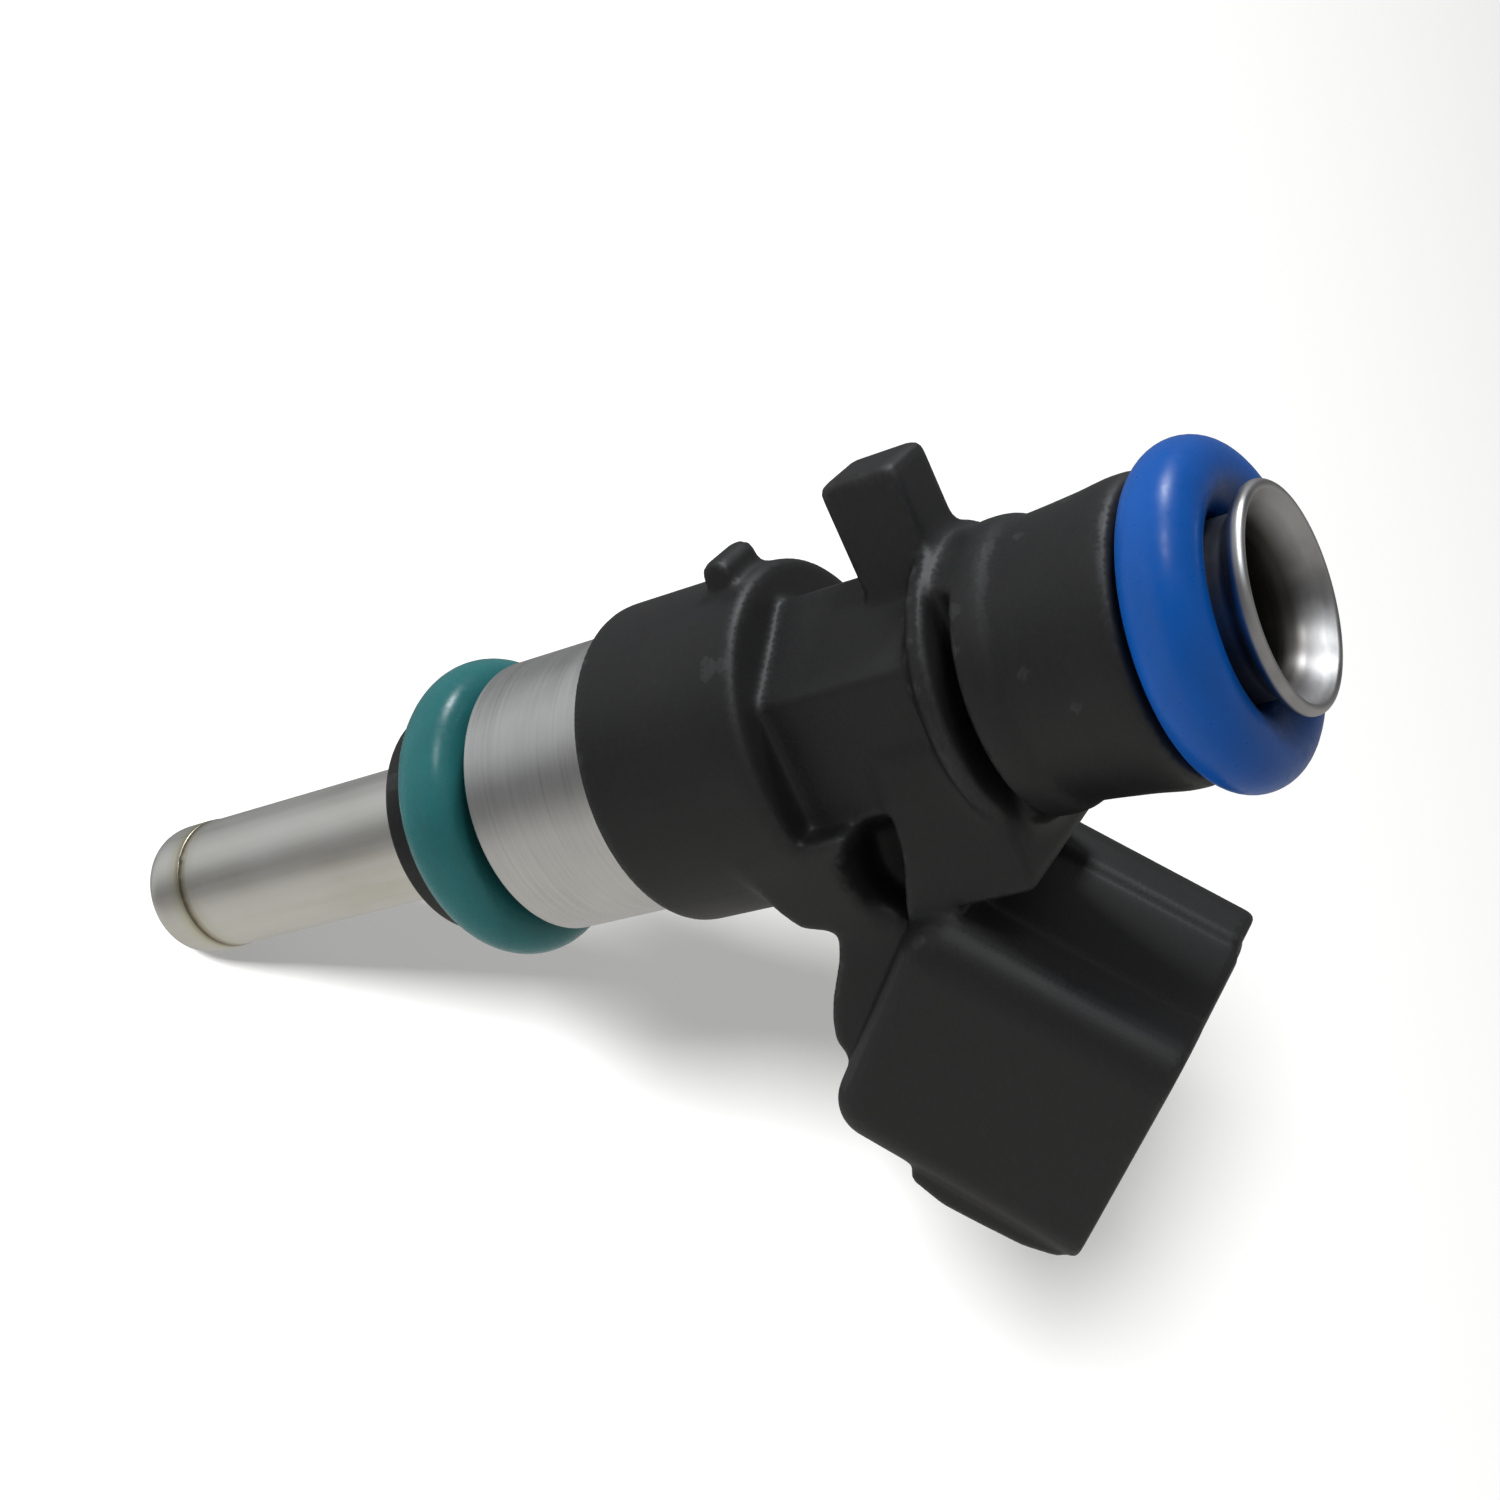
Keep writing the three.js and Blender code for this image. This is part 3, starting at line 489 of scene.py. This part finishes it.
# ---- Terminals ------------------------------------------------------------------------------
# Two stamped blades of tin-plated brass. Each runs from the coil, bends under the bridge and
# stands in the middle of the connector, its tip coined thin so that the plug slides on.
lean = sqrt(0.5)


def on_connector(u, v):
    """Place in the XZ plane of a point u along the leaning connector and v across it."""
    return ((u - v) * lean, (u + v) * lean)


blade_line = 4.5
blade_tip = 28.8
blade_half = 0.3
blade_reach = 1.4
blade_foot_x = 3.75
blade_foot_z = 15.95
blade_turn_z = 18.3


def blade_outline(grow):
    """Side view of a terminal, or with grow above 0, of the channel round it."""
    half = blade_half + grow
    low, high = blade_turn_z - half, blade_turn_z + half
    left, right = blade_foot_x - half, blade_foot_x + half
    under, over = blade_line - half, blade_line + half
    return [
        (left, blade_foot_z - grow), (right, blade_foot_z - grow), (right, low),
        (low - under / lean, low),
        on_connector(blade_tip + grow - 0.7, under), on_connector(blade_tip + grow, under + 0.2),
        on_connector(blade_tip + grow, over - 0.2), on_connector(blade_tip + grow - 0.7, over),
        (high - over / lean, high), (left, high),
    ]


def tinned_brass(name):
    finish, tree, shader = plain_finish(name, 0.25, 1.0)
    rolled = grain(tree, (5200, 400, 5200), 3)
    clouds = grain(tree, (900, 900, 900), 4)
    colour = tinted(tree, clouds, [
        (0.3, (0.5, 0.47, 0.4)), (0.6, (0.66, 0.64, 0.58)), (0.8, (0.62, 0.52, 0.33)),
    ])
    tree.links.new(colour, shader.inputs["Base Color"])
    tree.links.new(scaled(tree, rolled, 0.3, 0.7, 0.18, 0.34), shader.inputs["Roughness"])
    relief(tree, shader, rolled, 0.003)
    return finish


terminal_tin = tinned_brass("terminal_tin")
for side, node in ((-1, "terminal_left"), (1, "terminal_right")):
    outline = blade_outline(0.0)
    middle = sum(c.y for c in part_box(node)) / 2 / MM
    n = len(outline)
    faces = (middle - blade_reach, middle + blade_reach)
    points = [(x * MM, y * MM, z * MM) for y in faces for x, z in outline]
    skin = [tuple(range(n)), tuple(range(2 * n - 1, n - 1, -1))]
    skin += [(k, n + k, n + (k + 1) % n, (k + 1) % n) for k in range(n)]
    blade_mesh = bpy.data.meshes.new(node + "_stamped")
    blade_mesh.from_pydata(points, [], skin)
    blade = bpy.data.objects.new(node + "_stamped", blade_mesh)
    bpy.context.scene.collection.objects.link(blade)
    coined = blade.modifiers.new("coined_edges", "BEVEL")
    coined.width = 0.07 * MM
    coined.segments = 3
    coined.harden_normals = True
    fitted(blade, terminal_tin, node)

# ---- Black overmould ------------------------------------------------------------------------
# One moulding of black glass-filled nylon over the housing, the tube and the terminals: skirt,
# hexagonal body, clip collar, neck, lug, tab, and the bridge and elbow that carry the connector.
# It is laid out as a field of distances, so that every edge gets the mould's small radius.
cell = 0.19
skirt_radius = 7.45
skirt_foot, skirt_head = 10.0, 18.8
slot_foot, slot_head, slot_floor = 27.59, 28.5, 3.5
neck_head = 35.7
plastic_low, plastic_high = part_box("overmould")
margin = 5 * cell
grid_start = np.array(plastic_low) / MM - margin
grid_count = np.ceil((np.array(plastic_high - plastic_low) / MM + 2 * margin) / cell).astype(int)
axes = [(grid_start[i] + cell * np.arange(grid_count[i])).astype(np.float32) for i in range(3)]
x = axes[0][:, None, None]
y = axes[1][None, :, None]
z = axes[2][None, None, :]
radius = np.sqrt(x * x + y * y)
along = (x + z) * lean
across = (z - x) * lean


def outline_distance(corners, a, b):
    """Distance from each point (a, b) to a closed outline, negative inside it."""
    nearest = 1e9
    inside = False
    for (ax, ay), (bx, by) in zip(corners, corners[1:] + corners[:1]):
        ex, ey = bx - ax, by - ay
        wx, wy = a - ax, b - ay
        t = np.clip((wx * ex + wy * ey) / (ex * ex + ey * ey), 0, 1)
        nearest = np.minimum(nearest, (wx - ex * t) ** 2 + (wy - ey * t) ** 2)
        if ey != 0:
            inside = inside ^ (((ay > b) != (by > b)) & (a < ax + ex * (b - ay) / ey))
    return np.where(inside, -1, 1) * np.sqrt(nearest)


def cheeks(half_width, middle=0.0):
    return np.abs(y - middle) - half_width


def joined(first, second, fillet=0.0):
    """Both shapes as one, with a fillet where they meet."""
    if fillet == 0:
        return np.minimum(first, second)
    near = np.maximum(fillet - np.abs(first - second), 0) / fillet
    return np.minimum(first, second) - near * near * fillet / 4


def trimmed(shape, tool):
    return np.maximum(shape, -tool)


def rounded_corner(first, second, edge):
    """What is inside both limits, with the edge between them rounded."""
    a, b = first + edge, second + edge
    return np.hypot(np.maximum(a, 0), np.maximum(b, 0)) + np.minimum(np.maximum(a, b), 0) - edge


def rounded_bar(half_width, low, high, corner):
    """Distance to a bar that runs along the connector, with rounded corners."""
    middle, half = (low + high) / 2, (high - low) / 2
    return rounded_corner(np.abs(y) - half_width, np.abs(across - middle) - half, corner)


def level(low, high):
    return np.abs(z - (low + high) / 2) - (high - low) / 2


# Skirt, hexagon and neck, all on the axis.
skirt = rounded_corner(radius - skirt_radius, level(skirt_foot, skirt_head), 0.45)
flats = [np.abs(x * cos(a) + y * sin(a)) for a in (pi / 6, pi / 2, 5 * pi / 6)]
hexagon_radius = 5.86
hexagon = np.maximum.reduce(np.broadcast_arrays(*flats)) - hexagon_radius * cos(pi / 6)
hexagon = np.maximum(hexagon, level(17.8, 27.1))
neck = outline_distance([
    (0, 26.1), (5.6, 26.1), (6.72, 26.9), (6.72, slot_foot), (6.3, slot_foot), (6.3, slot_head),
    (6.36, slot_head + 0.2), (6.36, 29.4), (6.28, 29.95), (6.05, 30.2), (6.14, 31.4), (6.3, 33.1),
    (6.5, 34.5), (6.5, neck_head - 0.2), (6.35, neck_head), (0, neck_head),
], radius, z)
moulding = joined(joined(skirt, hexagon, 0.3), neck, 0.3)

# Lug that keeps the injector from turning, and the small tab on the skirt.
lug = outline_distance([
    (-10.05, 23.75), (-4, 23.75), (-4, 27.4), (-10.05, 27.4), (-10.3, 27.15), (-10.3, 24.0),
], x, z)
tab = outline_distance([
    (-8.3, 16.6), (-6.9, 16.6), (-6.9, 18.0), (-8.3, 18.0), (-8.65, 17.65), (-8.65, 16.95),
], x, z)
moulding = joined(moulding, np.maximum(lug, cheeks(1.75)), 0.3)
moulding = joined(moulding, np.maximum(tab, cheeks(1.5)), 0.3)

# Bridge, shoulder, elbow and web, which carry the connector.
bridge = outline_distance([
    (0.6, 23.0), (5.0, 22.3), (7.8, 21.2), (7.8, slot_foot), (0.6, slot_foot),
], x, z)
shoulder_plan = outline_distance([(2.9, -6.84), (8.05, -4.75), (8.05, 4.75), (2.9, 6.84)], x, y)
shoulder_side = outline_distance([
    (0, 15.3), (5.6, 15.4), (6.65, 15.64), (7.4, 15.95), (7.95, 17.4), (9, 17.4), (9, 19.9),
    (5.7, 19.7), (4.4, 20.0), (3.2, 21.1), (0, 21.1),
], x, z)
elbow = outline_distance([
    (7.0, 17.4), (8.0, 17.35), (9.3, 16.75), (11.1, 15.55), (12.1, 15.05), (13.1, 14.75), (14.1, 15.0),
    (15.5, 15.8), (10.0, 21.2), (7.7, 20.7), (6.4, 19.3),
], x, z)
web = outline_distance([(3.0, 18.5), (8.0, 18.5), (9.6, 20.6), (7.6, 22.6), (3.0, 23.0)], x, z)
moulding = joined(moulding, np.maximum(bridge, cheeks(5.2)), 0.3)
moulding = joined(moulding, rounded_corner(shoulder_side, shoulder_plan, 0.25), 0.25)
moulding = joined(moulding, rounded_corner(elbow, cheeks(4.75), 0.3), 0.5)
moulding = joined(moulding, np.maximum(web, cheeks(2.6)), 0.6)

# Connector: a rounded box with a flat crest on top, two bowed skids below and a stepped mouth.
box_half, box_low, box_high, box_back, box_mouth = 7.0, -1.94, 11.0, 20.8, 33.5
shroud = rounded_corner(rounded_bar(box_half, box_low, box_high, 2.1), box_back - along, 1.8)
shroud = np.maximum(shroud, along - box_mouth)
crest = np.maximum(np.maximum(cheeks(3.06), box_high - 0.3 - across), 23.0 - along)
step = np.maximum(np.maximum(2.9 - y, 8.5 - across), 33.3 - along)
shroud = trimmed(trimmed(shroud, crest), step)
moulding = joined(moulding, shroud, 0.4)
skid = outline_distance([
    (25.4, -0.74), (25.4, -2.36), (27.3, -2.77), (29.2, -2.66), (31.2, -2.5), (32.9, -1.98),
    (32.9, -0.74),
], along, across)
for side in (-1, 1):
    moulding = joined(moulding, np.maximum(skid, cheeks(0.85, side * 5.45)), 0.2)

# Hollows: the bore round housing and tube, the plug's socket, the clip slots and the channels
# that the blades stand in.
bore = outline_distance([
    (-1, 8.0), (6.55, 8.0), (6.55, 17.45), (3.05, 17.45), (3.05, widening - 0.05),
    (wide_radius + 0.05, widening + rise - 0.05), (wide_radius + 0.05, 38.0), (-1, 38.0),
], radius, z)
wall = 1.3
socket = rounded_bar(box_half - wall, box_low + wall, box_high - wall, 1.3)
socket = np.maximum(socket, 22.5 - along)
clip_slots = np.maximum(np.maximum(slot_floor - np.abs(y), level(slot_foot, slot_head)), np.abs(x) - 12)
moulding = trimmed(trimmed(trimmed(moulding, bore), socket), clip_slots)
channel = outline_distance(blade_outline(0.12), x, z)
for side in (-1, 1):
    moulding = trimmed(moulding, np.maximum(channel, cheeks(blade_reach + 0.12, side * 2.5)))


def softened(field, times):
    """Averages neighbours, which rounds every sharp edge by about one cell."""
    for _ in range(times):
        for axis in range(3):
            field = (np.roll(field, 1, axis) + 2 * field + np.roll(field, -1, axis)) / 4
    return field


def skinned(field, start, pitch):
    """Points and quads of the surface where the field passes through zero."""
    inside = field < 0
    nx, ny, nz = field.shape
    count = sum(
        inside[i:nx - 1 + i, j:ny - 1 + j, k:nz - 1 + k].astype(np.int8)
        for i, j, k in product((0, 1), repeat=3))
    cells = np.argwhere((count > 0) & (count < 8))
    number = np.full(count.shape, -1, np.int64)
    number[tuple(cells.T)] = np.arange(len(cells))
    total = np.zeros((len(cells), 3))
    hits = np.zeros(len(cells))
    for axis in range(3):
        unit = np.eye(3, dtype=int)[axis]
        for corner in product((0, 1), repeat=3):
            if corner[axis]:
                continue
            near = cells + corner
            far = near + unit
            first, second = field[tuple(near.T)], field[tuple(far.T)]
            crossed = (first < 0) != (second < 0)
            share = (first / np.where(crossed, first - second, 1))[:, None]
            total[crossed] += (near + share * unit)[crossed]
            hits[crossed] += 1
    quads = []
    for axis in range(3):
        ahead, beyond = np.eye(3, dtype=int)[(axis + 1) % 3], np.eye(3, dtype=int)[(axis + 2) % 3]
        low = np.moveaxis(inside, axis, 0)[:-1]
        high = np.moveaxis(inside, axis, 0)[1:]
        edges = np.argwhere(np.moveaxis(low != high, 0, axis))
        ring = [edges, edges - ahead, edges - ahead - beyond, edges - beyond]
        quad = np.stack([number[tuple(c.T)] for c in ring], 1)
        outward = inside[tuple(edges.T)]
        quads.append(np.where(outward[:, None], quad, quad[:, ::-1]))
    return start + total / hits[:, None] * pitch, np.concatenate(quads)


def sampled(field, start, pitch, places):
    """Field and its slope at each place, from the eight grid points round it."""
    base = (places - start) / pitch
    corner = np.floor(base).astype(int)
    part = base - corner
    value = np.zeros(len(places))
    slope = np.zeros((len(places), 3))
    for offset in product((0, 1), repeat=3):
        weights = np.where(offset, part, 1 - part)
        signs = np.where(offset, 1.0, -1.0)
        known = field[tuple((corner + offset).T)]
        value += known * weights.prod(1)
        for axis in range(3):
            others = [i for i in range(3) if i != axis]
            slope[:, axis] += known * signs[axis] * weights[:, others].prod(1)
    return value, slope / pitch


field = softened(moulding, 2)
points, quads = skinned(field, grid_start, cell)
for _ in range(3):
    value, slope = sampled(field, grid_start, cell, points)
    points -= slope * (value / (slope ** 2).sum(1).clip(0.2))[:, None]
outward = np.zeros_like(points)
for offset in product((-0.5, 0.5), repeat=3):
    outward += sampled(field, grid_start, cell, points + np.array(offset) * cell)[1]
outward /= np.linalg.norm(outward, axis=1)[:, None]
moulded_mesh = bpy.data.meshes.new("overmould_moulded")
moulded_mesh.from_pydata((points * MM).tolist(), [], quads.tolist())
moulded_mesh.shade_smooth()
moulded_mesh.normals_split_custom_set_from_vertices(outward.tolist())
moulded = bpy.data.objects.new("overmould_moulded", moulded_mesh)
bpy.context.scene.collection.objects.link(moulded)


def glass_filled_nylon(name, roughness):
    """Matt black, faintly clouded by its glass fibres, and paler along its convex edges."""
    finish, tree, shader = plain_finish(name, roughness, 0.0)
    clouds = grain(tree, (130, 130, 130), 5)
    fibres = grain(tree, (2200, 2200, 5200), 4)
    texture = grain(tree, (11000, 11000, 11000), 3)
    form = tree.nodes.new("ShaderNodeNewGeometry")
    # The colour turns paler where the surface bends sharply outwards, along every convex edge.
    paler_edges = scaled(tree, form.outputs["Pointiness"], 0.5, 0.56, 0.0, 0.42)
    patchy = summed(tree, paler_edges, scaled(tree, clouds, 0.3, 0.7, 0.0, 0.4))
    speckled = summed(tree, patchy, scaled(tree, fibres, 0.45, 0.8, 0.0, 0.2))
    colour = tinted(tree, speckled, [
        (0.0, (0.0075, 0.0076, 0.0082)), (0.45, (0.0115, 0.0116, 0.0122)),
        (1.0, (0.034, 0.0345, 0.036)),
    ])
    tree.links.new(colour, shader.inputs["Base Color"])
    worn = summed(tree, scaled(tree, clouds, 0.3, 0.7, -0.05, 0.06), roughness)
    tree.links.new(worn, shader.inputs["Roughness"])
    relief(tree, shader, summed(tree, texture, fibres), 0.006)
    shader.inputs["Specular IOR Level"].default_value = 0.4
    return finish


fitted(moulded, glass_filled_nylon("glass_filled_nylon", 0.52), "overmould")

# ---- Support ring ---------------------------------------------------------------------------
# Black nylon ring pressed on the tip tube. Its hub carries the lower O-ring, and its flange keeps
# that O-ring from sliding off.
flange_radius, support_foot, support_head = span("support_ring")
hub_radius = 3.74
flange_head = -1.64
support_outline = rounded([
    (tip_radius + 0.05, support_foot, 0.08), (flange_radius, support_foot, 0.22),
    (flange_radius, flange_head, 0.15), (hub_radius, flange_head, 0.1),
    (hub_radius, support_head, 0.05), (tip_radius + 0.05, support_head, 0.05),
])
fitted(turned("support_ring_moulded", support_outline, 180),
       glass_filled_nylon("support_ring_nylon", 0.45), "support_ring")

# ---- O-rings --------------------------------------------------------------------------------
# Moulded fluoro-rubber rings with a satin skin. The blue one seals in the fuel rail's cup and the
# green one in the manifold bore. Each sits slightly stretched in its groove.
def fluoro_rubber(name, deep, bright, roughness):
    finish, tree, shader = plain_finish(name, roughness, 0.0)
    clouds = grain(tree, (170, 170, 170), 4)
    skin_marks = grain(tree, (2600, 2600, 2600), 3)
    tree.links.new(tinted(tree, clouds, [(0.25, deep), (0.7, bright)]), shader.inputs["Base Color"])
    dulled = scaled(tree, skin_marks, 0.3, 0.7, roughness - 0.05, roughness + 0.07)
    tree.links.new(dulled, shader.inputs["Roughness"])
    relief(tree, shader, skin_marks, 0.0003)
    shader.inputs["Specular IOR Level"].default_value = 0.22
    return finish


def o_ring(node, finish):
    outer, foot, head = span(node)
    section = (head - foot) / 2
    centre = outer - section
    height = (foot + head) / 2
    turns = [2 * pi * k / 48 for k in range(48)]
    rim = [(centre + section * cos(t), height + section * sin(t)) for t in turns]
    fitted(turned(node + "_rubber", rim, 240), finish, node)


blue_rubber = fluoro_rubber("blue_rubber", (0.0012, 0.058, 0.27), (0.002, 0.078, 0.35), 0.32)
teal_rubber = fluoro_rubber("teal_rubber", (0.015, 0.106, 0.112), (0.026, 0.155, 0.162), 0.26)
o_ring("upper_o_ring", blue_rubber)
o_ring("lower_o_ring", teal_rubber)

# ---- Camera ---------------------------------------------------------------------------------
# Close above the inlet end and off to one side, rolled so that the injector lies across the view.
eye = Vector((-26.096, -81.353, 70.831)) * MM
right = Vector((0.41050, 0.42783, 0.80527))
up = Vector((-0.87464, 0.43448, 0.21502))
back = right.cross(up)
camera_data = bpy.data.cameras.new("studio_camera")
camera_data.sensor_width = 36.0
camera_data.lens = 54.744
camera_data.clip_start = 0.005
camera_data.clip_end = 10.0
camera = bpy.data.objects.new("studio_camera", camera_data)
camera.matrix_world = Matrix.Translation(eye) @ Matrix((right, up, back)).transposed().to_4x4()
bpy.context.scene.collection.objects.link(camera)
bpy.context.scene.camera = camera

# ---- Floor and light ------------------------------------------------------------------------
# Pale translucent table just below the tip, glowing a little from beneath. Two small soft boxes
# draw the highlights, and a distant one beside the camera lights the table and lays the shadow.
floor_height = solid_box[0].z - 0.001
floor_mesh = bpy.data.meshes.new("studio_floor")
reach = 3.0
corners = [(-reach, -reach), (reach, -reach), (reach, reach), (-reach, reach)]
floor_mesh.from_pydata([(cx, cy, floor_height) for cx, cy in corners], [], [(0, 1, 2, 3)])
floor = bpy.data.objects.new("studio_floor", floor_mesh)
floor_finish, _, floor_shader = plain_finish("pale_floor", 0.9, 0.0)
floor_shader.inputs["Base Color"].default_value = (0.82, 0.82, 0.82, 1.0)
floor_shader.inputs["Specular IOR Level"].default_value = 0.0
floor_shader.inputs["Emission Color"].default_value = (1.0, 1.0, 1.0, 1.0)
floor_shader.inputs["Emission Strength"].default_value = 0.10
floor_mesh.materials.append(floor_finish)
floor.visible_glossy = False
bpy.context.scene.collection.objects.link(floor)

on_table = bpy.data.collections.new("table_only")
on_table.objects.link(floor)
on_injector = bpy.data.collections.new("injector_only")
for thing in bpy.context.scene.objects:
    if thing.type == "MESH" and thing != floor:
        on_injector.objects.link(thing)
target = (solid_box[0] + solid_box[1]) / 2


def soft_box(name, direction, distance, size, radiance, lit, colour=(1.0, 1.0, 1.0)):
    """Square area light that faces the injector from the given direction."""
    data = bpy.data.lights.new(name, "AREA")
    data.shape = "SQUARE"
    data.size = size
    data.energy = radiance * pi * size * size
    data.color = colour
    light = bpy.data.objects.new(name, data)
    outward = Vector(direction).normalized()
    light.location = target + outward * distance
    light.rotation_mode = "QUATERNION"
    light.rotation_quaternion = (-outward).to_track_quat("-Z", "Y")
    light.light_linking.receiver_collection = lit
    bpy.context.scene.collection.objects.link(light)


soft_box("upper_box", (-0.80, 0.36, 0.42), 0.40, 0.08, 44.0, on_injector, (0.96, 0.98, 1.0))
soft_box("front_box", (-0.76, -0.16, 0.63), 0.40, 0.08, 19.0, on_injector, (0.97, 0.99, 1.0))
soft_box("shadow_box", (-0.54, -0.70, 0.47), 1.20, 0.17, 340.0, on_table)

# The walls round the injector differ: greyest behind the camera and opposite it, brightest at
# either side. The steel shows them as its grey and light bands.
world = bpy.data.worlds.new("studio_air")
world.use_nodes = True
air = world.node_tree
facing = air.nodes.new("ShaderNodeTexCoord")
compass = air.nodes.new("ShaderNodeTexGradient")
compass.gradient_type = "RADIAL"
air.links.new(facing.outputs["Generated"], compass.inputs["Vector"])
walls = tinted(air, compass.outputs["Fac"], [
    (0.0, (0.54, 0.55, 0.56)), (0.07, (0.48, 0.49, 0.50)), (0.15, (0.18, 0.18, 0.185)),
    (0.20, (0.20, 0.20, 0.20)), (0.29, (0.48, 0.475, 0.455)), (0.46, (0.54, 0.53, 0.50)),
    (0.64, (0.48, 0.475, 0.455)), (0.72, (0.18, 0.18, 0.18)), (0.87, (0.22, 0.225, 0.23)),
    (1.0, (0.54, 0.55, 0.56)),
])
seen = air.nodes.new("ShaderNodeLightPath")
pale = air.nodes.new("ShaderNodeMix")
pale.data_type = "RGBA"
air.links.new(seen.outputs["Is Camera Ray"], pale.inputs["Factor"])
air.links.new(walls, pale.inputs["A"])
pale.inputs["B"].default_value = (1.0, 1.0, 1.0, 1.0)
air.links.new(pale.outputs["Result"], air.nodes["Background"].inputs["Color"])
air.nodes["Background"].inputs["Strength"].default_value = 1.0
bpy.context.scene.world = world
bpy.context.scene.view_settings.view_transform = "Standard"
